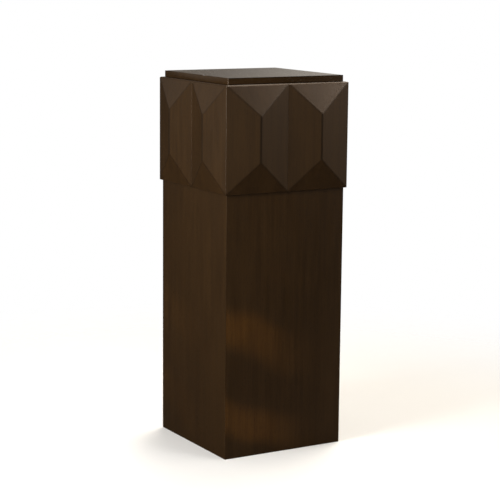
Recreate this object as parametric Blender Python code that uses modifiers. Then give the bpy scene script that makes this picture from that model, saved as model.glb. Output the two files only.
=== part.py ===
"""Display plinth: a square veneered shaft with a collar of diamond-point blocks and a lift-off top.

Metres, +Z up. The origin is the middle of the footprint, on the floor. The front of the plinth faces -Y.
"""

import math

import bmesh
import bpy
from mathutils import Matrix, Vector

# Driving dimensions
SHAFT_WIDTH = 0.381          # square shaft, outside
TOTAL_HEIGHT = 1.067
BOARD = 0.018                # thickness of every veneered board
TOP_WIDTH = 0.372            # square top panel
COLLAR_HEIGHT = 0.300
COLLAR_EDGE = 0.0063         # thickness of a diamond block along its edges
RIDGE_RISE = 0.021           # how far a block's ridge stands above its edges
RIDGE_SETBACK = 0.0865       # from a block's end to the end of its ridge

# Clearances
GAP = 0.0003                 # between pieces that touch
MITRE_GAP = 0.0002           # taken off each mitred board, measured along the board
BATTEN_CLEARANCE = 0.0015    # between the lift-off top's battens and the shaft

# Inside the shaft
POST = 0.028                 # square corner posts
STIFFENER_HEIGHT = 0.500     # floor to the underside of the stiffener
BATTEN_WIDTH = 0.025
BATTEN_DEPTH = 0.020
SUBTOP_DROP = 0.009          # from the underside of the battens to the sub-top

# Countersunk wood screws
SCREW_HEAD_RADIUS = 0.004
SCREW_HEAD_HEIGHT = 0.0028
SCREW_RADIUS = 0.002
SCREW_TIP = 0.004
BLOCK_SCREW_LENGTH = 0.035
BLOCK_SCREW_SPREAD = 0.090   # between the two screws of one block
POST_SCREW_LENGTH = 0.045
SCREW_OVERSHOOT = 0.001      # how far a screw's cutter stands out of the board

# Levelling feet
FOOT_INSET = 0.115           # from the middle of the plinth to a foot, in X and in Y
STEM_RADIUS = 0.004
STEM_TOP = 0.058
HEX_RADIUS = 0.0075
HEX_HEIGHT = 0.005
PAD_RADIUS = 0.016
PAD_HEIGHT = 0.011
PAD_LIFT = 0.0008            # a wound-in foot hangs just clear of the floor
SOCKET_DEPTH = 0.006
NUT_FLANGE_RADIUS = 0.011
NUT_FLANGE = 0.0015
NUT_BARREL_RADIUS = 0.0058
NUT_BARREL = 0.012

ROUND_STEPS = 20
EASE = 0.0008                # eased edges of the top panel

# Values that follow from the driving dimensions
TOP_UNDERSIDE = TOTAL_HEIGHT - BOARD
SHAFT_HEIGHT = TOP_UNDERSIDE - GAP
SHAFT_HALF = SHAFT_WIDTH / 2
SHAFT_INSIDE = SHAFT_WIDTH - 2 * BOARD
COLLAR_HALF = SHAFT_HALF + GAP + COLLAR_EDGE
COLLAR_MIDDLE = SHAFT_HEIGHT - COLLAR_HEIGHT / 2
BASE_RISE = PAD_LIFT + PAD_HEIGHT + HEX_HEIGHT + 2 * GAP   # a wound-in foot stops against the base board
BASE_TOP = BASE_RISE + BOARD
SUBTOP_TOP = TOP_UNDERSIDE - BATTEN_DEPTH - SUBTOP_DROP
SUBTOP_UNDERSIDE = SUBTOP_TOP - BOARD
POST_BOTTOM = BASE_TOP + GAP
POST_TOP = SUBTOP_UNDERSIDE - GAP
POST_AXIS = SHAFT_INSIDE / 2 - GAP - POST / 2

# The front faces -Y, and each side is the front turned about the plinth's axis
SIDES = {"front": 0.0, "right": math.radians(90), "back": math.radians(180), "left": math.radians(270)}
CORNERS = {
    "front_left": (-1, -1),
    "front_right": (1, -1),
    "back_right": (1, 1),
    "back_left": (-1, 1),
}


def clear_scene():
    for old in list(bpy.data.objects):
        bpy.data.objects.remove(old, do_unlink=True)


def new_collection(name):
    collection = bpy.data.collections.new(name)
    bpy.context.scene.collection.children.link(collection)
    return collection


def material(name, colour, roughness, metallic=0.0):
    made = bpy.data.materials.new(name)
    made.use_nodes = True
    shader = made.node_tree.nodes["Principled BSDF"]
    shader.inputs["Base Color"].default_value = (*colour, 1.0)
    shader.inputs["Roughness"].default_value = roughness
    shader.inputs["Metallic"].default_value = metallic
    return made


clear_scene()
PARTS = new_collection("display_plinth")
CUTTERS = new_collection("cutters")
VENEER = material("veneer", (0.052, 0.031, 0.016), 0.38)
BLOCK_WOOD = material("block_wood", (0.060, 0.038, 0.021), 0.36)
TOP_VENEER = material("top_veneer", (0.050, 0.031, 0.018), 0.26)
PLYWOOD = material("plywood", (0.52, 0.36, 0.20), 0.62)
SOFTWOOD = material("softwood", (0.60, 0.42, 0.23), 0.66)
ZINC = material("zinc_steel", (0.62, 0.61, 0.58), 0.32, 1.0)
NYLON = material("nylon", (0.018, 0.018, 0.020), 0.48)


def add_object(name, mesh, finish=None):
    """Adds a part with its finish, or a cutter where there is none."""
    made = bpy.data.objects.new(name, mesh)
    if finish is None:
        CUTTERS.objects.link(made)
        made.hide_render = True
        made.display_type = "WIRE"
    else:
        PARTS.objects.link(made)
        mesh.materials.append(finish)
    return made


def mesh_from(bm, name):
    mesh = bpy.data.meshes.new(name)
    bm.normal_update()
    bm.to_mesh(mesh)
    bm.free()
    return mesh


def cube(size):
    bm = bmesh.new()
    bmesh.ops.create_cube(bm, size=1.0)
    bmesh.ops.scale(bm, vec=Vector(size), verts=bm.verts)
    return bm


def box(name, size, centre, finish=None):
    made = add_object(name, mesh_from(cube(size), name), finish)
    made.location = centre
    return made


def turned(name, outline, finish=None, closed=False):
    """A turned shape about its own Z axis, from (radius, height) points running down its outer side."""
    bm = bmesh.new()
    points = [bm.verts.new((radius, 0.0, height)) for radius, height in outline]
    for first, second in zip(points, points[1:]):
        bm.edges.new((first, second))
    if closed:
        bm.edges.new((points[-1], points[0]))
    made = add_object(name, mesh_from(bm, name), finish)
    spin = made.modifiers.new("turn", "SCREW")
    spin.axis = "Z"
    spin.angle = math.tau
    spin.steps = ROUND_STEPS
    spin.render_steps = ROUND_STEPS
    spin.use_merge_vertices = True
    spin.merge_threshold = 0.00005
    spin.use_smooth_shade = True
    return made


def on_side(made, side, offset, tilt=0.0):
    """Puts a piece at an offset given in the front side's frame, on any of the four sides."""
    angle = SIDES[side]
    made.location = Matrix.Rotation(angle, 3, "Z") @ Vector(offset)
    made.rotation_euler = (tilt, 0.0, angle)


def boolean(made, other, operation):
    step = made.modifiers.new(operation.lower(), "BOOLEAN")
    step.operation = operation
    step.solver = "EXACT"
    step.object = other


# Screws

def screw_outline(length, clearance=0.0, overshoot=0.0):
    """A countersunk screw, its head's flat at height 0 and its tip below; a cutter is a little larger."""
    head = SCREW_HEAD_RADIUS + clearance
    shank = SCREW_RADIUS + clearance
    outline = [(0.0, overshoot), (head, overshoot)]
    if overshoot:
        outline.append((head, 0.0))
    outline += [
        (shank, -SCREW_HEAD_HEIGHT),
        (shank, -length + SCREW_TIP),
        (0.0, -length - clearance),
    ]
    return outline


def screw_and_cutter(name, length):
    sunk = turned(name, screw_outline(length), ZINC)
    cutter = turned(name + "_cutter", screw_outline(length, GAP, SCREW_OVERSHOOT))
    return sunk, cutter


# Shaft and collar

def mitred_panel(side):
    """One wall of the shaft: full width outside, and mitred down to the inside width."""
    name = f"shaft_panel_{side}"
    bm = cube((SHAFT_WIDTH - 2 * MITRE_GAP, BOARD, SHAFT_HEIGHT))
    for vert in bm.verts:
        if vert.co.y > 0:
            vert.co.x -= math.copysign(BOARD, vert.co.x)
    made = add_object(name, mesh_from(bm, name), VENEER)
    on_side(made, side, (0.0, BOARD / 2 - SHAFT_HALF, SHAFT_HEIGHT / 2))
    return made


def diamond_block(name, side, end):
    """A hipped block over half of one side; end is -1 or 1, the way to the corner of the collar."""
    inner = GAP / 2
    outer = COLLAR_HALF - MITRE_GAP
    bm = cube((outer - inner, COLLAR_EDGE, COLLAR_HEIGHT))
    bmesh.ops.translate(bm, vec=Vector((end * (outer + inner) / 2, 0.0, 0.0)), verts=bm.verts)
    for vert in bm.verts:
        if vert.co.y > 0 and vert.co.x * end > COLLAR_HALF / 2:
            vert.co.x -= end * COLLAR_EDGE
    face = min(bm.faces, key=lambda candidate: candidate.calc_center_median().y)
    raised = bmesh.ops.extrude_face_region(bm, geom=[face])["geom"]
    bmesh.ops.delete(bm, geom=[face], context="FACES_ONLY")
    for vert in [item for item in raised if isinstance(item, bmesh.types.BMVert)]:
        vert.co.x = end * COLLAR_HALF / 2
        vert.co.y -= RIDGE_RISE
        vert.co.z -= math.copysign(RIDGE_SETBACK, vert.co.z)
    bmesh.ops.remove_doubles(bm, verts=bm.verts, dist=GAP / 10)
    bmesh.ops.recalc_face_normals(bm, faces=bm.faces)
    made = add_object(name, mesh_from(bm, name), BLOCK_WOOD)
    on_side(made, side, (0.0, COLLAR_EDGE / 2 - COLLAR_HALF, COLLAR_MIDDLE))
    return made


def build_shaft_and_collar():
    for side in SIDES:
        panel = mitred_panel(side)
        for half, end in (("left", -1), ("right", 1)):
            block = diamond_block(f"diamond_block_{side}_{half}", side, end)
            for level, rise in (("lower", -1), ("upper", 1)):
                name = f"block_screw_{side}_{half}_{level}"
                height = COLLAR_MIDDLE + rise * BLOCK_SCREW_SPREAD / 2
                for piece in screw_and_cutter(name, BLOCK_SCREW_LENGTH):
                    on_side(piece, side, (end * COLLAR_HALF / 2, BOARD - SHAFT_HALF, height), math.radians(-90))
                boolean(panel, piece, "DIFFERENCE")
                boolean(block, piece, "DIFFERENCE")


# Carcass inside the shaft

def build_carcass():
    inside = SHAFT_INSIDE - 2 * GAP
    base = box("base_board", (inside, inside, BOARD), (0, 0, BASE_RISE + BOARD / 2), PLYWOOD)
    subtop = box("sub_top", (inside, inside, BOARD), (0, 0, SUBTOP_TOP - BOARD / 2), PLYWOOD)
    stiffener = box(
        "mid_stiffener", (inside, inside, BOARD), (0, 0, STIFFENER_HEIGHT + BOARD / 2), PLYWOOD
    )
    for corner, (x, y) in CORNERS.items():
        at = Vector((x * POST_AXIS, y * POST_AXIS, 0.0))
        middle = Vector((0.0, 0.0, (POST_BOTTOM + POST_TOP) / 2))
        post = box(f"corner_post_{corner}", (POST, POST, POST_TOP - POST_BOTTOM), at + middle, SOFTWOOD)
        notch_size = POST + 4 * GAP
        notch = box(
            f"notch_{corner}",
            (notch_size, notch_size, 2 * BOARD),
            (x * (POST_AXIS + GAP), y * (POST_AXIS + GAP), STIFFENER_HEIGHT + BOARD / 2),
        )
        boolean(stiffener, notch, "DIFFERENCE")
        joints = (
            (f"base_screw_{corner}", base, BASE_RISE, math.pi),
            (f"sub_top_screw_{corner}", subtop, SUBTOP_TOP, 0.0),
        )
        for name, board, height, tilt in joints:
            for piece in screw_and_cutter(name, POST_SCREW_LENGTH):
                piece.location = at + Vector((0.0, 0.0, height))
                piece.rotation_euler = (tilt, 0.0, 0.0)
            boolean(board, piece, "DIFFERENCE")
            boolean(post, piece, "DIFFERENCE")
    return base


# Levelling feet: each foot's empty stands on its axis, and the stem and the pad hang from it

def tee_nut_outline():
    return [
        (STEM_RADIUS + GAP, NUT_FLANGE),
        (NUT_FLANGE_RADIUS, NUT_FLANGE),
        (NUT_FLANGE_RADIUS, 0.0),
        (NUT_BARREL_RADIUS, 0.0),
        (NUT_BARREL_RADIUS, -NUT_BARREL),
        (STEM_RADIUS + GAP, -NUT_BARREL),
    ]


def pad_outline():
    """A round pad with an eased foot and a blind socket in its top."""
    socket = STEM_RADIUS + GAP
    ease = 2 * EASE
    return [
        (0.0, PAD_HEIGHT - SOCKET_DEPTH),
        (socket, PAD_HEIGHT - SOCKET_DEPTH),
        (socket, PAD_HEIGHT),
        (PAD_RADIUS - 2 * ease, PAD_HEIGHT),
        (PAD_RADIUS, PAD_HEIGHT - 2 * ease),
        (PAD_RADIUS, ease),
        (PAD_RADIUS - ease, 0.0),
        (0.0, 0.0),
    ]


def stem_outline(bottom):
    """A plain rod from its socket to its chamfered top."""
    chamfer = STEM_RADIUS / 4
    return [
        (0.0, STEM_TOP),
        (STEM_RADIUS - chamfer, STEM_TOP),
        (STEM_RADIUS, STEM_TOP - chamfer),
        (STEM_RADIUS, bottom),
        (0.0, bottom),
    ]


def hexagon(name, centre):
    bm = bmesh.new()
    bmesh.ops.create_cone(
        bm, cap_ends=True, segments=6, radius1=HEX_RADIUS, radius2=HEX_RADIUS, depth=HEX_HEIGHT
    )
    made = add_object(name, mesh_from(bm, name))
    made.location = centre
    return made


def build_feet(base):
    for corner, (x, y) in CORNERS.items():
        axis = Vector((x * FOOT_INSET, y * FOOT_INSET, 0.0))
        foot = bpy.data.objects.new(f"foot_axis_{corner}", None)
        PARTS.objects.link(foot)
        foot.location = axis

        nut = turned(f"tee_nut_{corner}", tee_nut_outline(), ZINC, closed=True)
        nut.location = axis + Vector((0.0, 0.0, BASE_TOP + GAP))
        hole = turned(
            f"nut_hole_{corner}",
            [
                (0.0, BOARD),
                (NUT_BARREL_RADIUS + GAP, BOARD),
                (NUT_BARREL_RADIUS + GAP, -2 * BOARD),
                (0.0, -2 * BOARD),
            ],
        )
        hole.location = axis + Vector((0.0, 0.0, BASE_TOP))
        boolean(base, hole, "DIFFERENCE")

        pad = turned(f"foot_pad_{corner}", pad_outline(), NYLON)
        pad.location = (0.0, 0.0, PAD_LIFT)
        stem_bottom = PAD_LIFT + PAD_HEIGHT - SOCKET_DEPTH + GAP
        stem = turned(f"foot_stem_{corner}", stem_outline(stem_bottom), ZINC)
        hex_centre = axis + Vector((0.0, 0.0, PAD_LIFT + PAD_HEIGHT + GAP + HEX_HEIGHT / 2))
        boolean(stem, hexagon(f"foot_hexagon_{corner}", hex_centre), "UNION")
        for piece in (pad, stem):
            piece.parent = foot


# Lift-off top: its panel and battens hang from an empty on the axis that it lifts along

def build_top():
    lift = bpy.data.objects.new("top_lift_axis", None)
    PARTS.objects.link(lift)
    lift.location = (0.0, 0.0, TOP_UNDERSIDE)
    panel = box("top_panel", (TOP_WIDTH, TOP_WIDTH, BOARD), (0, 0, BOARD / 2), TOP_VENEER)
    panel.parent = lift
    ease = panel.modifiers.new("eased_edges", "BEVEL")
    ease.width = EASE
    ease.segments = 2
    length = SHAFT_INSIDE - 2 * BATTEN_CLEARANCE
    for side in ("front", "back"):
        batten = box(f"top_batten_{side}", (length, BATTEN_WIDTH, BATTEN_DEPTH), (0, 0, 0), SOFTWOOD)
        inset = (SHAFT_INSIDE - BATTEN_WIDTH) / 2 - BATTEN_CLEARANCE
        on_side(batten, side, (0.0, -inset, -GAP - BATTEN_DEPTH / 2))
        batten.parent = lift


build_shaft_and_collar()
build_feet(build_carcass())
build_top()
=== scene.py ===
"""Looks for the display plinth: stained and lacquered veneer, diamond-point blocks and hidden fixings.

Metres, +Z up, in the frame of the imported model. The front faces -Y, and each side is the front turned
about the plinth's axis.
"""

import math

import bmesh
import bpy
from mathutils import Matrix, Vector


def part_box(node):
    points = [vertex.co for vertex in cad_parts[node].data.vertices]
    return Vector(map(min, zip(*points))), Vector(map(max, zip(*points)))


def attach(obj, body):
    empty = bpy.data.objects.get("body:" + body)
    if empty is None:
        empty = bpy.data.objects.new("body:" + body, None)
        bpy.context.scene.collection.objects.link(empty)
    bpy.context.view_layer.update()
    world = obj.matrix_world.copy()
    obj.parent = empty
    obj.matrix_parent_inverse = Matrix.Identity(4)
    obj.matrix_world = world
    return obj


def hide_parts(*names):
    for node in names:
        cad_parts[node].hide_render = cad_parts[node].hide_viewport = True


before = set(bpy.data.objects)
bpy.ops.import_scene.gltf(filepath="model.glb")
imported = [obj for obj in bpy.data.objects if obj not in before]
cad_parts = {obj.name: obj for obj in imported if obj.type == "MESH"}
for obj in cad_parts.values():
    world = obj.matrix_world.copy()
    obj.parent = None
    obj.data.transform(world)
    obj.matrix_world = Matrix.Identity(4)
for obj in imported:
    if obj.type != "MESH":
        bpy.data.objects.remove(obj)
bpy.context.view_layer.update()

# Camera, on an orbit round a point close to the plinth's axis
LENS = 117.75
CAMERA_AZIMUTH = math.radians(30.31)
CAMERA_ELEVATION = math.radians(9.775)
CAMERA_ROLL = math.radians(0.545)
CAMERA_DISTANCE = 4.752
AIM_HEIGHT = 0.5534
AIM_ASIDE = -0.0034

# Rounding of arrises: the radius follows how sharply two faces meet
ARRIS_RADIUS = 0.0012        # corners and ends of the shaft's panels
OUTLINE_RADIUS = 0.0016      # outlines of the diamond blocks
CROWN_RADIUS = 0.0060        # their upper outline, which stands clear of the top panel
RIDGE_RADIUS = 0.024         # ridges and hips of the diamond blocks
TOP_RADIUS = 0.0014
BATTEN_RADIUS = 0.0015
ARC_STEPS = 8

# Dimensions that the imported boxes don't show on their own
RIDGE_RISE = 0.021
RIDGE_SETBACK = 0.0865

SCREW_HEAD_RADIUS = 0.004
SCREW_HEAD_HEIGHT = 0.0028
SCREW_CREST = 0.002
SCREW_ROOT = 0.0014
SCREW_PITCH = 0.0022
SCREW_TIP = 0.004
SCREW_TIP_RADIUS = 0.0002
SCREW_SHANK = 0.0017
SCREW_HEAD_LIP = 0.0003
SCREW_FACETS = 16
RECESS_REACH = 0.0021
RECESS_WIDTH = 0.0008
RECESS_DEPTH = 0.0018
RECESS_TAPER = 0.55          # size of the cross at its floor

STEM_CREST = 0.004
STEM_ROOT = 0.0034
STEM_PITCH = 0.00125
HEX_RADIUS = 0.0075
HEX_HEIGHT = 0.005
HEX_GAP = 0.0003             # between a pad and the hexagon above it
STEM_CHAMFER = 0.0006
STEM_FACETS = 24
THREAD_START = 0.0004        # from the hexagon up to the first turn
THREAD_MARGIN = 0.0001
ROWS_PER_TURN = 6
PAD_SOCKET_RADIUS = 0.0043
PAD_SOCKET_DEPTH = 0.006
PAD_FACETS = 48

SIDES = {"front": 0.0, "right": 90.0, "back": 180.0, "left": 270.0}
CORNERS = ("front_left", "front_right", "back_right", "back_left")
UP = Vector((0.0, 0.0, 1.0))
FRONT = Vector((0.0, -1.0, 0.0))

# Finishes: colours are linear, and a lacquer is its roughness and its specular level
STAIN = (0.0210, 0.0098, 0.0024)
LACQUER_TINT = (1.0, 0.78, 0.60, 1.0)
SHAFT_LACQUER = (0.34, 0.36)
BLOCK_LACQUER = (0.30, 0.45)
TOP_LACQUER = (0.17, 0.5)
ARRIS_DARKENING = 0.6         # how far the colour is darkened along the ridges and hips
PLY_PITCH = 0.0028

# Painted reflection on the shaft's veneer: paler, warmer bands that lean down to the right, strong on the
# front only
REFLECTION_BAND_PITCH = 0.25           # height from one band to the next
REFLECTION_BAND_LEAN = 0.42            # fall for each metre across
REFLECTION_BAND_SWAY = 0.10
REFLECTION_BAND_TOP = (0.40, 0.56)     # the bands fade out between these heights
REFLECTION_BAND_REACH = (-0.12, 0.15)  # and between these places across a side
REFLECTION_BAND_WARMTH = (2.1, 1.8, 0.85)
REFLECTION_BAND_PHASE = 0.27
REFLECTION_BAND_PHASE_STEP = 1.9
REFLECTION_BAND_STRENGTHS = {"front": 1.0, "right": 0.15, "back": 0.15, "left": 0.15}

# Grain: where each piece's veneer starts, and the step from one side to the next
SHAFT_GRAIN_STEP = 2.3
BLOCK_GRAIN = {"left": (20.0, 3.1), "right": (40.0, 2.7)}
TOP_GRAIN = 5.0

# Studio: the room is lit by soft lobes of the world, each given as azimuth, elevation, the angles at which
# it starts and ends its fade, and brightness. Azimuth 0 is in front of the plinth and 90 on its left. The
# lobe below zero is a black flag, which takes light away.
ROOM_TINT = (1.0, 0.94, 0.85, 1.0)
ROOM_BRIGHTNESS = 0.05
ROOM_DARKEST = 0.03
ROOM_LOBES = (
    (0.0, 90.0, 82.0, 97.0, 0.17),
    (0.0, 90.0, 20.0, 62.0, 0.55),
    (-71.0, 58.0, 8.0, 32.0, 1.20),
    (231.0, 46.0, 8.0, 26.0, 6.50),
    (268.0, 15.0, 15.0, 45.0, 0.50),
    (232.0, 8.0, 12.0, 24.0, 0.84),
    (4.0, -1.0, 4.0, 19.0, 0.85),
    (-60.0, 0.0, 4.0, 18.0, 0.42),
    (126.0, 0.0, 4.0, 15.0, 0.22),
    (151.0, 13.0, 4.0, 12.0, 0.22),
    (176.0, 4.0, 8.0, 30.0, -0.14),
    (150.0, 2.0, 4.0, 10.0, 0.35),
)
BACKDROP = (1.0, 1.0, 1.0, 1.0)
FLOOR_RADIUS = 4.0
FLOOR_FADE = (0.6, 2.0)

# Area lights: name, place, target, width, height, power and spread in degrees
LIGHTS = (
    ("left_key", (-1.62, -0.36, 1.10), (0.0, 0.0, 0.84), 0.7, 0.8, 33.0, 180.0),
    ("front_box", (1.58, -1.80, 1.70), (0.08, -0.2, 1.0), 0.45, 0.55, 1.65, 90.0),
    ("crown_box", (0.60, -1.50, 2.60), (0.0, -0.2, 1.04), 0.5, 0.5, 0.8, 36.0),
)


# Solids made by cutting, with the rounded strips marked so that the finish can follow them

def box_mesh(low, high):
    bm = bmesh.new()
    bmesh.ops.create_cube(bm, size=1.0)
    bmesh.ops.scale(bm, vec=high - low, verts=bm.verts)
    bmesh.ops.translate(bm, vec=(low + high) / 2, verts=bm.verts)
    bm.faces.layers.float.new("arris")
    return bm


def shave(bm, point, normal, mark=0.0):
    """Cuts a convex solid off beyond a plane, closes it, and marks the new face."""
    geometry = bm.verts[:] + bm.edges[:] + bm.faces[:]
    cut = bmesh.ops.bisect_plane(
        bm, geom=geometry, plane_co=point, plane_no=normal, clear_outer=True, dist=1e-7
    )
    rim = [item for item in cut["geom_cut"] if isinstance(item, bmesh.types.BMEdge)]
    layer = bm.faces.layers.float["arris"]
    for face in bmesh.ops.holes_fill(bm, edges=rim, sides=0)["faces"]:
        face[layer] = mark


def round_arris(bm, point, first, second, radius, share=1.0, mark=0.0):
    """Rounds the arris through a point, between the faces with these normals, or its first share."""
    turn = first.angle(second)
    axis = first.cross(second).normalized()
    centre = point - (first + second).normalized() * radius / math.cos(turn / 2)
    for step in range(1, int(ARC_STEPS * share) + 1):
        normal = Matrix.Rotation(turn * step / ARC_STEPS, 3, axis) @ first
        shave(bm, centre + normal * radius, normal, mark * math.sin(math.pi * step / ARC_STEPS))


def new_piece(name, bm, body, replaces, finish, smooth=25.0):
    """Turns a bmesh in the model's frame into a piece that stands for CAD nodes and rides on a body."""
    mesh = bpy.data.meshes.new(name)
    bmesh.ops.recalc_face_normals(bm, faces=bm.faces)
    bm.to_mesh(mesh)
    bm.free()
    mesh.materials.append(finish)
    mesh.shade_smooth()
    mesh.set_sharp_from_angle(angle=math.radians(smooth))
    made = bpy.data.objects.new(name, mesh)
    bpy.context.scene.collection.objects.link(made)
    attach(made, body)
    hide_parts(*replaces)
    return made


def turn_to_side(bm, side):
    turn = Matrix.Rotation(math.radians(SIDES[side]), 3, "Z")
    bmesh.ops.rotate(bm, cent=(0, 0, 0), matrix=turn, verts=bm.verts)


# Materials

class Finish:
    """A short way to write a material's nodes."""

    def __init__(self, name):
        self.material = bpy.data.materials.new(name)
        self.material.use_nodes = True
        self.tree = self.material.node_tree
        self.shader = self.tree.nodes["Principled BSDF"]

    def node(self, kind, **settings):
        made = self.tree.nodes.new(kind)
        for key, value in settings.items():
            setattr(made, key, value)
        return made

    def feed(self, socket, source):
        if isinstance(source, bpy.types.NodeSocket):
            self.tree.links.new(source, socket)
        else:
            socket.default_value = source

    def math(self, operation, *sources):
        made = self.node("ShaderNodeMath", operation=operation)
        for socket, source in zip(made.inputs, sources):
            self.feed(socket, source)
        return made.outputs[0]

    def mix(self, share, first, second):
        made = self.node("ShaderNodeMix", data_type="RGBA")
        self.feed(made.inputs[0], share)
        self.feed(made.inputs[6], first)
        self.feed(made.inputs[7], second)
        return made.outputs[2]

    def place(self, stretch=(1.0, 1.0, 1.0), shift=0.0):
        """The model's own coordinates, squeezed along some axes, and shifted to give another figure."""
        made = self.node("ShaderNodeMapping")
        self.feed(made.inputs["Vector"], self.node("ShaderNodeTexCoord").outputs["Object"])
        made.inputs["Scale"].default_value = [1.0 / amount for amount in stretch]
        made.inputs["Location"].default_value = (shift, 0.7 * shift, 1.3 * shift)
        return made.outputs["Vector"]

    def noise(self, vector, size, detail=2.0, roughness=0.5):
        made = self.node("ShaderNodeTexNoise")
        self.feed(made.inputs["Vector"], vector)
        made.inputs["Scale"].default_value = 1.0 / size
        made.inputs["Detail"].default_value = detail
        made.inputs["Roughness"].default_value = roughness
        return made.outputs["Fac"]

    def ramp(self, source, low, high, first=0.0, last=1.0):
        made = self.node("ShaderNodeMapRange", interpolation_type="SMOOTHSTEP")
        settings = (source, low, high, first, last)
        for socket, setting in zip(made.inputs, settings):
            self.feed(socket, setting)
        return made.outputs["Result"]

    def scaled(self, colour, amount):
        made = self.node("ShaderNodeVectorMath", operation="SCALE")
        self.feed(made.inputs[0], colour)
        self.feed(made.inputs["Scale"], amount)
        return made.outputs["Vector"]

    def colour(self, source):
        self.feed(self.shader.inputs["Base Color"], source)

    def rough(self, source):
        self.feed(self.shader.inputs["Roughness"], source)

    def bump(self, height, strength, distance):
        made = self.node("ShaderNodeBump")
        made.inputs["Strength"].default_value = strength
        made.inputs["Distance"].default_value = distance
        self.feed(made.inputs["Height"], height)
        self.feed(self.shader.inputs["Normal"], made.outputs["Normal"])


def along(axis, amount):
    stretch = [1.0, 1.0, 1.0]
    stretch[axis] = amount
    return stretch


def tinted(colour, *shares):
    return (*[part * share for part, share in zip(colour, shares)], 1.0)


def painted_reflection_bands(wood, side, phase, strength):
    """Painted reflection: soft bands that lean down toward the right of a side, and fade out up the shaft and
    to the right.
    """
    parts = wood.node("ShaderNodeSeparateXYZ")
    wood.feed(parts.inputs[0], wood.node("ShaderNodeTexCoord").outputs["Object"])
    turn = math.radians(SIDES[side])
    across = wood.math("MULTIPLY", parts.outputs["X"], math.cos(turn))
    across = wood.math("MULTIPLY_ADD", parts.outputs["Y"], math.sin(turn), across)
    lean = wood.math("MULTIPLY_ADD", across, REFLECTION_BAND_LEAN, parts.outputs["Z"])
    sway = wood.math("SUBTRACT", wood.noise(wood.place(shift=phase), 0.22, 1.0, 0.4), 0.5)
    lean = wood.math("MULTIPLY_ADD", sway, REFLECTION_BAND_SWAY, lean)
    wave = wood.math("SINE", wood.math("MULTIPLY_ADD", lean, math.tau / REFLECTION_BAND_PITCH, phase))
    fade = wood.ramp(parts.outputs["Z"], *REFLECTION_BAND_TOP, strength, 0.0)
    fade = wood.math("MULTIPLY", fade, wood.ramp(across, *REFLECTION_BAND_REACH, 1.0, 0.0))
    return wood.math("MULTIPLY", wood.ramp(wave, -0.4, 0.95), fade)


def stained_veneer(name, lacquer, axis=2, shift=0.0, reflection=None):
    """Dark stained, open-pored veneer under satin lacquer, with leaning bands of painted reflection if asked
    for.
    """
    roughness, level = lacquer
    wood = Finish(name)
    ribbons = wood.noise(wood.place(along(axis, 22.0), shift), 0.017, 3.0, 0.55)
    fibres = wood.noise(wood.place(along(axis, 40.0), shift + 3.0), 0.0036, 3.0, 0.7)
    pores = wood.noise(wood.place(along(axis, 12.0), shift + 7.0), 0.0011, 1.0, 0.5)
    clouds = wood.noise(wood.place(along(axis, 2.0), shift + 11.0), 0.12, 2.0, 0.5)
    fibre = wood.ramp(fibres, 0.30, 0.72)
    pore = wood.ramp(pores, 0.62, 0.74)
    dark, light = tinted(STAIN, 0.85, 0.83, 0.81), tinted(STAIN, 1.13, 1.13, 1.12)
    tone = wood.mix(wood.ramp(ribbons, 0.34, 0.68), dark, light)
    tone = wood.mix(wood.math("MULTIPLY", fibre, 0.34), tone, tinted(STAIN, 1.9, 1.85, 1.75))
    tone = wood.mix(wood.math("MULTIPLY", pore, 0.7), tone, tinted(STAIN, 0.30, 0.27, 0.25))
    # painted reflection: the bands lighten and warm the veneer's colour where reflected light falls
    if reflection is not None:
        reflection_share = wood.math("MULTIPLY", painted_reflection_bands(wood, *reflection), wood.ramp(clouds, 0.3, 0.7, 0.6, 1.0))
        reflected_tone = wood.node("ShaderNodeVectorMath", operation="MULTIPLY")
        wood.feed(reflected_tone.inputs[0], tone)
        reflected_tone.inputs[1].default_value = REFLECTION_BAND_WARMTH
        tone = wood.mix(reflection_share, tone, reflected_tone.outputs["Vector"])
    # the colour is darkened along the marked ridge and hip strips
    arris = wood.node("ShaderNodeAttribute", attribute_name="arris").outputs["Fac"]
    edges = wood.math("MULTIPLY_ADD", arris, -ARRIS_DARKENING, 1.0)
    lift = wood.math("MULTIPLY", wood.ramp(clouds, 0.3, 0.7, 0.93, 1.07), edges)
    wood.colour(wood.scaled(tone, lift))
    wood.rough(wood.math("MULTIPLY_ADD", fibre, 0.09, wood.math("MULTIPLY_ADD", pore, 0.2, roughness)))
    relief = wood.math("MULTIPLY_ADD", fibre, 0.3, wood.math("MULTIPLY", pore, -1.0))
    wood.bump(relief, 0.17, 0.0003)
    wood.shader.inputs["IOR"].default_value = 1.5
    wood.shader.inputs["Specular IOR Level"].default_value = level
    wood.shader.inputs["Specular Tint"].default_value = LACQUER_TINT
    return wood.material


def raw_wood(name, axis, shift=0.0):
    """Planed softwood with soft growth rings."""
    wood = Finish(name)
    rings = wood.noise(wood.place(along(axis, 12.0), shift), 0.009, 4.0, 0.55)
    fibres = wood.noise(wood.place(along(axis, 30.0), shift + 5.0), 0.0016, 2.0, 0.6)
    tone = wood.mix(wood.ramp(rings, 0.36, 0.64), (0.62, 0.45, 0.26, 1.0), (0.44, 0.27, 0.13, 1.0))
    tone = wood.mix(wood.ramp(fibres, 0.4, 0.9, 0.0, 0.5), tone, (0.36, 0.22, 0.11, 1.0))
    wood.colour(tone)
    wood.rough(wood.ramp(fibres, 0.2, 0.8, 0.58, 0.74))
    wood.bump(fibres, 0.3, 0.0003)
    return wood.material


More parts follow.
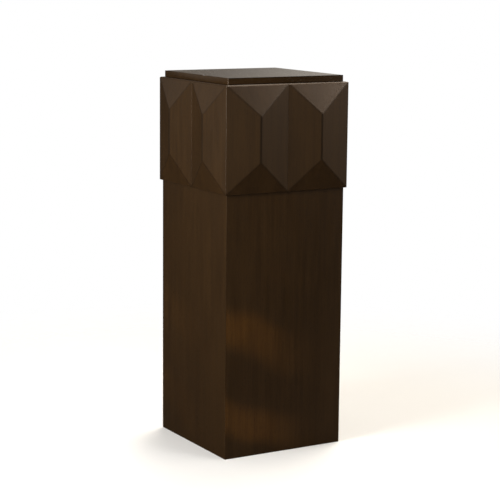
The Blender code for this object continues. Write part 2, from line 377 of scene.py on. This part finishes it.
def plywood():
    """Birch plywood: rotary-cut faces, and alternating plies on the board's edges and in its holes."""
    wood = Finish("birch_plywood")
    rings = wood.noise(wood.place(along(0, 7.0)), 0.05, 4.0, 0.6)
    fibres = wood.noise(wood.place(along(0, 24.0), 6.0), 0.0024, 2.0, 0.6)
    face = wood.mix(wood.ramp(rings, 0.36, 0.64), (0.56, 0.41, 0.25, 1.0), (0.46, 0.31, 0.17, 1.0))
    face = wood.mix(wood.ramp(fibres, 0.4, 0.9, 0.0, 0.45), face, (0.35, 0.22, 0.12, 1.0))
    parts = wood.node("ShaderNodeSeparateXYZ")
    wood.feed(parts.inputs[0], wood.node("ShaderNodeTexCoord").outputs["Object"])
    wave = wood.math("SINE", wood.math("MULTIPLY", parts.outputs["Z"], math.tau / PLY_PITCH))
    plies = wood.mix(wood.ramp(wave, -0.3, 0.3), (0.50, 0.36, 0.21, 1.0), (0.26, 0.16, 0.08, 1.0))
    facing = wood.node("ShaderNodeSeparateXYZ")
    wood.feed(facing.inputs[0], wood.node("ShaderNodeNewGeometry").outputs["True Normal"])
    flat = wood.ramp(wood.math("ABSOLUTE", facing.outputs["Z"]), 0.4, 0.6)
    wood.colour(wood.mix(flat, plies, face))
    wood.rough(wood.ramp(fibres, 0.2, 0.8, 0.55, 0.7))
    wood.bump(fibres, 0.25, 0.0002)
    return wood.material


def zinc():
    """Bright zinc plating with a faint spangle."""
    metal = Finish("zinc_plating")
    spangle = metal.noise(metal.place(), 0.0012, 3.0, 0.6)
    metal.colour(metal.mix(metal.ramp(spangle, 0.35, 0.65), (0.50, 0.50, 0.49, 1.0), (0.70, 0.69, 0.65, 1.0)))
    metal.rough(metal.ramp(spangle, 0.3, 0.7, 0.26, 0.42))
    metal.shader.inputs["Metallic"].default_value = 1.0
    metal.bump(spangle, 0.1, 0.0001)
    return metal.material


def nylon():
    """Moulded black nylon with a fine texture."""
    plastic = Finish("black_nylon")
    grit = plastic.noise(plastic.place(), 0.0005, 2.0, 0.5)
    plastic.colour(plastic.mix(grit, (0.010, 0.010, 0.011, 1.0), (0.028, 0.028, 0.030, 1.0)))
    plastic.rough(plastic.ramp(grit, 0.3, 0.7, 0.40, 0.55))
    plastic.bump(grit, 0.2, 0.0002)
    return plastic.material


PLYWOOD = plywood()
ZINC = zinc()
NYLON = nylon()
POST_WOOD = raw_wood("post_softwood", 2)
BATTEN_WOOD = raw_wood("batten_softwood", 0, 2.0)


# Shaft

def build_panel(side, shift, reflection):
    """A mitred wall of the shaft, with its half of each rounded corner, an eased foot, and bands of painted
    reflection in its veneer.
    """
    low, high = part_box("shaft_panel_front")
    face = low.y
    bm = box_mesh(low, high)
    for way in (-1, 1):
        across = Vector((way, 0.0, 0.0))
        corner = Vector((-way * face, face, 0.0))
        mitre = (across - FRONT).normalized()
        shave(bm, Vector((way * high.x, face, 0.0)), mitre)
        round_arris(bm, corner, FRONT, across, ARRIS_RADIUS, 0.5)
    round_arris(bm, Vector((0.0, face, low.z)), FRONT, -UP, ARRIS_RADIUS)
    turn_to_side(bm, side)
    finish = stained_veneer(f"shaft_veneer_{side}", SHAFT_LACQUER, shift=shift, reflection=(side, *reflection))
    new_piece(f"veneered_panel_{side}", bm, "carcass", [f"shaft_panel_{side}"], finish)


# Collar

def build_block(side, half, end, shift):
    """A diamond-point block: four facets over a mitred slab, with softly rounded ridge, hips and outline."""
    low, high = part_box(f"diamond_block_front_{half}")
    inner, outer = sorted((low.x, high.x), key=abs)
    edge = low.y + RIDGE_RISE
    middle = (low + high) / 2
    bm = box_mesh(low, high)

    side_slope = math.atan2(RIDGE_RISE, abs(outer - inner) / 2)
    end_slope = math.atan2(RIDGE_RISE, RIDGE_SETBACK)
    facets = {
        "out": Vector((end * math.sin(side_slope), -math.cos(side_slope), 0.0)),
        "in": Vector((-end * math.sin(side_slope), -math.cos(side_slope), 0.0)),
        "top": Vector((0.0, -math.cos(end_slope), math.sin(end_slope))),
        "bottom": Vector((0.0, -math.cos(end_slope), -math.sin(end_slope))),
    }
    ridge = Vector((middle.x, low.y, middle.z))
    ridge_end = (high.z - low.z) / 2 - RIDGE_SETBACK
    shave(bm, Vector((outer, edge, 0.0)), (Vector((end, 0.0, 0.0)) - FRONT).normalized())
    shave(bm, ridge, facets["out"])
    shave(bm, ridge, facets["in"])
    shave(bm, ridge + UP * ridge_end, facets["top"])
    shave(bm, ridge - UP * ridge_end, facets["bottom"])

    round_arris(bm, ridge, facets["out"], facets["in"], RIDGE_RADIUS, mark=1.0)
    for tip, way in (("top", 1), ("bottom", -1)):
        for flank in ("out", "in"):
            point = ridge + UP * way * ridge_end
            round_arris(bm, point, facets[flank], facets[tip], RIDGE_RADIUS, mark=0.5)
        height, radius = (high.z, CROWN_RADIUS) if way > 0 else (low.z, OUTLINE_RADIUS)
        round_arris(bm, Vector((0.0, edge, height)), facets[tip], UP * way, radius)
    corner = end * abs(edge)
    neighbour = Vector((-facets["out"].y * end, -facets["out"].x * end, 0.0))
    round_arris(bm, Vector((corner, edge, 0.0)), facets["out"], neighbour, OUTLINE_RADIUS, 0.5)
    round_arris(bm, Vector((inner, edge, 0.0)), facets["in"], Vector((-end, 0.0, 0.0)), OUTLINE_RADIUS / 4)
    turn_to_side(bm, side)
    finish = stained_veneer(f"block_veneer_{side}_{half}", BLOCK_LACQUER, shift=shift)
    replaces = [f"diamond_block_{side}_{half}"]
    new_piece(f"faceted_block_{side}_{half}", bm, "carcass", replaces, finish, 4.0)


# Lift-off top

def round_upright_arrises(bm, low, high, radius):
    corners = ((-1, -1, low.x, low.y), (1, -1, high.x, low.y), (1, 1, high.x, high.y), (-1, 1, low.x, high.y))
    for x, y, at_x, at_y in corners:
        round_arris(bm, Vector((at_x, at_y, 0.0)), Vector((x, 0.0, 0.0)), Vector((0.0, y, 0.0)), radius)


def round_flat_arrises(bm, low, high, radius):
    for height, way in ((low.z, -1), (high.z, 1)):
        faces = ((low.x, 0, -1), (high.x, 0, 1), (low.y, 1, -1), (high.y, 1, 1))
        for at, axis, out in faces:
            point = Vector((0.0, 0.0, height))
            point[axis] = at
            normal = Vector((0.0, 0.0, 0.0))
            normal[axis] = out
            round_arris(bm, point, normal, UP * way, radius)


def build_top():
    low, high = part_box("top_panel")
    bm = box_mesh(low, high)
    round_upright_arrises(bm, low, high, TOP_RADIUS)
    round_flat_arrises(bm, low, high, TOP_RADIUS)
    finish = stained_veneer("top_veneer_board", TOP_LACQUER, axis=0, shift=TOP_GRAIN)
    new_piece("veneered_top", bm, "top", ["top_panel"], finish)
    for side in ("front", "back"):
        low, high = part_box(f"top_batten_{side}")
        bm = box_mesh(low, high)
        round_upright_arrises(bm, low, high, BATTEN_RADIUS)
        round_flat_arrises(bm, low, high, BATTEN_RADIUS)
        new_piece(f"eased_batten_{side}", bm, "top", [f"top_batten_{side}"], BATTEN_WOOD)


# Fixings: solids of stacked rings, whose radius may follow a thread's turn

def ring_solid(rows, count, pitch=0.0, depth=0.0, threaded=(0.0, 0.0)):
    """A closed solid about Z from (radius, height) rows, with a helical thread between two heights."""
    bm = bmesh.new()
    rings = []
    for radius, height in rows:
        ring = []
        for step in range(count):
            angle = math.tau * step / count
            at = radius
            if threaded[0] < height < threaded[1]:
                phase = (height / pitch - step / count) % 1.0
                at = radius - depth * abs(2.0 * phase - 1.0)
            ring.append(bm.verts.new((at * math.cos(angle), at * math.sin(angle), height)))
        rings.append(ring)
    for lower, upper in zip(rings, rings[1:]):
        for step in range(count):
            after = (step + 1) % count
            bm.faces.new((lower[step], lower[after], upper[after], upper[step]))
    bm.faces.new(reversed(rings[0]))
    bm.faces.new(rings[-1])
    return bm


def thread_rows(radius, low, high, pitch):
    count = max(2, round((high - low) / pitch * ROWS_PER_TURN))
    return [(radius, low + (high - low) * step / count) for step in range(count + 1)]


def cross_recess(bm, depth, reach, width):
    """Sinks a tapered cross into the flat cap at height 0: the cap is remade round the cross's outline."""
    cap = max(bm.faces, key=lambda face: face.calc_center_median().z)
    rim = list(cap.edges)
    bm.faces.remove(cap)
    arm = ((reach, -width), (reach, width), (width, width))
    top, floor = [], []
    for quarter in range(4):
        turn = Matrix.Rotation(math.radians(90 * quarter), 3, "Z")
        for x, y in arm:
            at = turn @ Vector((x, y, 0.0))
            top.append(bm.verts.new(at))
            floor.append(bm.verts.new(at * RECESS_TAPER - UP * depth))
    outline = [bm.edges.new((first, second)) for first, second in zip(top, top[1:] + top[:1])]
    bmesh.ops.triangle_fill(bm, edges=rim + outline, use_beauty=True)
    for step, vert in enumerate(top):
        after = (step + 1) % len(top)
        bm.faces.new((vert, floor[step], floor[after], top[after]))
    bm.faces.new(floor)


def screw_mesh(length):
    """A countersunk, cross-recessed wood screw, its head's flat at height 0 and its tip below."""
    start = -length + SCREW_TIP
    shank = -SCREW_HEAD_HEIGHT - 2 * SCREW_PITCH
    rows = [(SCREW_TIP_RADIUS, -length)]
    rows += thread_rows(SCREW_CREST, start, shank, SCREW_PITCH)
    rows += [(SCREW_SHANK, shank + 2 * THREAD_MARGIN), (SCREW_SHANK, -SCREW_HEAD_HEIGHT)]
    rows += [(SCREW_HEAD_RADIUS, -SCREW_HEAD_LIP), (SCREW_HEAD_RADIUS, 0.0)]
    threaded = (start - THREAD_MARGIN, shank + THREAD_MARGIN)
    bm = ring_solid(rows, SCREW_FACETS, SCREW_PITCH, SCREW_CREST - SCREW_ROOT, threaded)
    cross_recess(bm, RECESS_DEPTH, RECESS_REACH, RECESS_WIDTH / 2)
    return bm


def build_screw(name, length, place):
    bm = screw_mesh(length)
    bm.transform(place)
    new_piece(f"{name}_recessed", bm, "carcass", [name], ZINC, 30.0)


def build_screws():
    for side, angle in SIDES.items():
        to_side = Matrix.Rotation(math.radians(angle), 4, "Z")
        for half in ("left", "right"):
            for level in ("lower", "upper"):
                low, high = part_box(f"block_screw_front_{half}_{level}")
                at = Vector(((low.x + high.x) / 2, high.y, (low.z + high.z) / 2))
                place = to_side @ Matrix.Translation(at) @ Matrix.Rotation(math.radians(-90), 4, "X")
                build_screw(f"block_screw_{side}_{half}_{level}", high.y - low.y, place)
    for corner in CORNERS:
        for kind, tilt in (("base_screw", 180.0), ("sub_top_screw", 0.0)):
            low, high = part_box(f"{kind}_{corner}")
            at = (low + high) / 2
            at.z = low.z if tilt else high.z
            place = Matrix.Translation(at) @ Matrix.Rotation(math.radians(tilt), 4, "X")
            build_screw(f"{kind}_{corner}", high.z - low.z, place)


def build_stem(corner):
    """A threaded stem with its adjusting hexagon, which has chamfered corners."""
    low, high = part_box(f"foot_stem_{corner}")
    pad_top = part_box(f"foot_pad_{corner}")[1].z
    nut_low = pad_top + HEX_GAP - low.z
    nut_high = nut_low + HEX_HEIGHT
    length = high.z - low.z
    rows = [(STEM_ROOT - STEM_CHAMFER, 0.0), (STEM_ROOT, STEM_CHAMFER), (STEM_ROOT, nut_low)]
    rows += [(HEX_RADIUS - STEM_CHAMFER, nut_low), (HEX_RADIUS, nut_low + STEM_CHAMFER)]
    rows += [(HEX_RADIUS, nut_high - STEM_CHAMFER), (HEX_RADIUS - STEM_CHAMFER, nut_high)]
    rows.append((STEM_ROOT, nut_high))
    rows += thread_rows(STEM_CREST, nut_high + THREAD_START, length - 2 * STEM_CHAMFER, STEM_PITCH)
    rows.append((STEM_ROOT - STEM_CHAMFER, length))
    threaded = (nut_high + THREAD_START - THREAD_MARGIN, length - STEM_CHAMFER)
    bm = ring_solid(rows, STEM_FACETS, STEM_PITCH, STEM_CREST - STEM_ROOT, threaded)
    flat = HEX_RADIUS * math.cos(math.radians(30))
    for vert in bm.verts:
        radius = math.hypot(vert.co.x, vert.co.y)
        if nut_low - 1e-6 < vert.co.z < nut_high + 1e-6 and radius > STEM_CREST:
            turn = (math.atan2(vert.co.y, vert.co.x) % math.radians(60)) - math.radians(30)
            limit = flat / math.cos(turn)
            if radius > limit:
                vert.co.x *= limit / radius
                vert.co.y *= limit / radius
    bm.transform(Matrix.Translation(((low.x + high.x) / 2, (low.y + high.y) / 2, low.z)))
    replaces = [f"foot_stem_{corner}"]
    new_piece(f"threaded_stem_{corner}", bm, f"foot_{corner}", replaces, ZINC, 30.0)


def build_pad(corner):
    """A swivel pad: a raised boss round the socket, a shallow dish, and a non-slip groove underneath."""
    low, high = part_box(f"foot_pad_{corner}")
    radius = (high.x - low.x) / 2
    height = high.z - low.z
    socket = PAD_SOCKET_RADIUS
    floor = height - PAD_SOCKET_DEPTH
    rows = [
        (radius * 0.55, 0.0008),
        (radius * 0.62, 0.0008),
        (radius * 0.66, 0.0),
        (radius * 0.90, 0.0),
        (radius * 0.97, 0.0006),
        (radius, 0.0018),
        (radius, height * 0.42),
        (radius * 0.97, height * 0.50),
        (radius * 0.90, height * 0.55),
        (socket + 0.0042, height * 0.66),
        (socket + 0.0030, height * 0.78),
        (socket + 0.0026, height - 0.0006),
        (socket + 0.0020, height),
        (socket + 0.0004, height),
        (socket, height - 0.0004),
        (socket, floor),
    ]
    bm = ring_solid(rows, PAD_FACETS)
    bm.transform(Matrix.Translation(((low.x + high.x) / 2, (low.y + high.y) / 2, low.z)))
    replaces = [f"foot_pad_{corner}"]
    new_piece(f"swivel_pad_{corner}", bm, f"foot_{corner}", replaces, NYLON, 40.0)


# CAD nodes that keep their shape

def dress(prefix, finish):
    for name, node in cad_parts.items():
        if name.startswith(prefix):
            node.data.materials.clear()
            node.data.materials.append(finish)


# Studio

def build_floor():
    """A round pale floor that fades into the room."""
    bm = bmesh.new()
    bmesh.ops.create_circle(bm, cap_ends=True, segments=96, radius=FLOOR_RADIUS)
    mesh = bpy.data.meshes.new("floor")
    bm.to_mesh(mesh)
    bm.free()
    paint = Finish("pale_floor")
    mottle = paint.noise(paint.place(), 0.6, 3.0, 0.5)
    paint.colour(paint.mix(mottle, (0.79, 0.785, 0.775, 1.0), (0.83, 0.825, 0.815, 1.0)))
    paint.shader.inputs["Roughness"].default_value = 0.9
    paint.shader.inputs["Specular IOR Level"].default_value = 0.1
    distance = paint.node("ShaderNodeVectorMath", operation="LENGTH")
    paint.feed(distance.inputs[0], paint.place())
    paint.feed(paint.shader.inputs["Alpha"], paint.ramp(distance.outputs["Value"], *FLOOR_FADE, 1.0, 0.0))
    mesh.materials.append(paint.material)
    floor = bpy.data.objects.new("floor", mesh)
    bpy.context.scene.collection.objects.link(floor)
    floor.visible_glossy = False


def aim(thing, at, target):
    thing.location = at
    thing.rotation_euler = (Vector(target) - Vector(at)).to_track_quat("-Z", "Y").to_euler()


def build_light(name, at, target, width, height, power, spread):
    data = bpy.data.lights.new(name, "AREA")
    data.shape = "RECTANGLE"
    data.size = width
    data.size_y = height
    data.energy = power
    data.spread = math.radians(spread)
    light = bpy.data.objects.new(name, data)
    light.visible_camera = False
    bpy.context.scene.collection.objects.link(light)
    aim(light, at, target)


def direction(azimuth, elevation):
    turn, rise = math.radians(azimuth), math.radians(elevation)
    return Vector((-math.sin(turn) * math.cos(rise), -math.cos(turn) * math.cos(rise), math.sin(rise)))


def build_world():
    """A plain backdrop for the camera, and a dark room with soft lights for everything else."""
    world = bpy.data.worlds.new("studio")
    world.use_nodes = True
    tree = world.node_tree
    looking = tree.nodes.new("ShaderNodeTexCoord").outputs["Generated"]
    total = None
    for azimuth, elevation, inner, outer, brightness in ROOM_LOBES:
        toward = tree.nodes.new("ShaderNodeVectorMath")
        toward.operation = "DOT_PRODUCT"
        tree.links.new(looking, toward.inputs[0])
        toward.inputs[1].default_value = direction(azimuth, elevation)
        lobe = tree.nodes.new("ShaderNodeMapRange")
        lobe.interpolation_type = "SMOOTHSTEP"
        tree.links.new(toward.outputs["Value"], lobe.inputs["Value"])
        lobe.inputs["From Min"].default_value = math.cos(math.radians(outer))
        lobe.inputs["From Max"].default_value = math.cos(math.radians(inner))
        lobe.inputs["To Max"].default_value = brightness
        add = tree.nodes.new("ShaderNodeMath")
        tree.links.new(lobe.outputs["Result"], add.inputs[0])
        if total is None:
            add.inputs[1].default_value = ROOM_BRIGHTNESS
        else:
            tree.links.new(total, add.inputs[1])
        total = add.outputs[0]
    room = tree.nodes["Background"]
    room.inputs["Color"].default_value = ROOM_TINT
    darkest = tree.nodes.new("ShaderNodeMath")
    darkest.operation = "MAXIMUM"
    tree.links.new(total, darkest.inputs[0])
    darkest.inputs[1].default_value = ROOM_DARKEST
    tree.links.new(darkest.outputs[0], room.inputs["Strength"])
    backdrop = tree.nodes.new("ShaderNodeBackground")
    backdrop.inputs["Color"].default_value = BACKDROP
    choice = tree.nodes.new("ShaderNodeMixShader")
    tree.links.new(tree.nodes.new("ShaderNodeLightPath").outputs["Is Camera Ray"], choice.inputs[0])
    tree.links.new(room.outputs[0], choice.inputs[1])
    tree.links.new(backdrop.outputs[0], choice.inputs[2])
    tree.links.new(choice.outputs[0], tree.nodes["World Output"].inputs["Surface"])
    bpy.context.scene.world = world


def build_camera():
    data = bpy.data.cameras.new("camera")
    data.lens = LENS
    camera = bpy.data.objects.new("camera", data)
    bpy.context.scene.collection.objects.link(camera)
    sine, cosine = math.sin(CAMERA_AZIMUTH), math.cos(CAMERA_AZIMUTH)
    target = Vector((cosine * AIM_ASIDE, -sine * AIM_ASIDE, AIM_HEIGHT))
    flat = CAMERA_DISTANCE * math.cos(CAMERA_ELEVATION)
    rise = CAMERA_DISTANCE * math.sin(CAMERA_ELEVATION)
    at = target + Vector((-sine * flat, -cosine * flat, rise))
    aim(camera, at, target)
    camera.rotation_euler.rotate_axis("Z", CAMERA_ROLL)
    bpy.context.scene.camera = camera


for number, side in enumerate(SIDES):
    # phase and strength of the painted reflection bands on this side
    reflection = (REFLECTION_BAND_PHASE + REFLECTION_BAND_PHASE_STEP * number, REFLECTION_BAND_STRENGTHS[side])
    build_panel(side, SHAFT_GRAIN_STEP * number, reflection)
    for half, end in (("left", -1), ("right", 1)):
        start, step = BLOCK_GRAIN[half]
        build_block(side, half, end, start + step * number)
build_top()
build_screws()
for corner in CORNERS:
    build_stem(corner)
    build_pad(corner)
for prefix, finish in (
    ("base_board", PLYWOOD),
    ("mid_stiffener", PLYWOOD),
    ("sub_top", PLYWOOD),
    ("corner_post", POST_WOOD),
    ("tee_nut", ZINC),
):
    dress(prefix, finish)

build_floor()
build_world()
for light in LIGHTS:
    build_light(*light)
build_camera()
bpy.context.scene.view_settings.view_transform = "Standard"
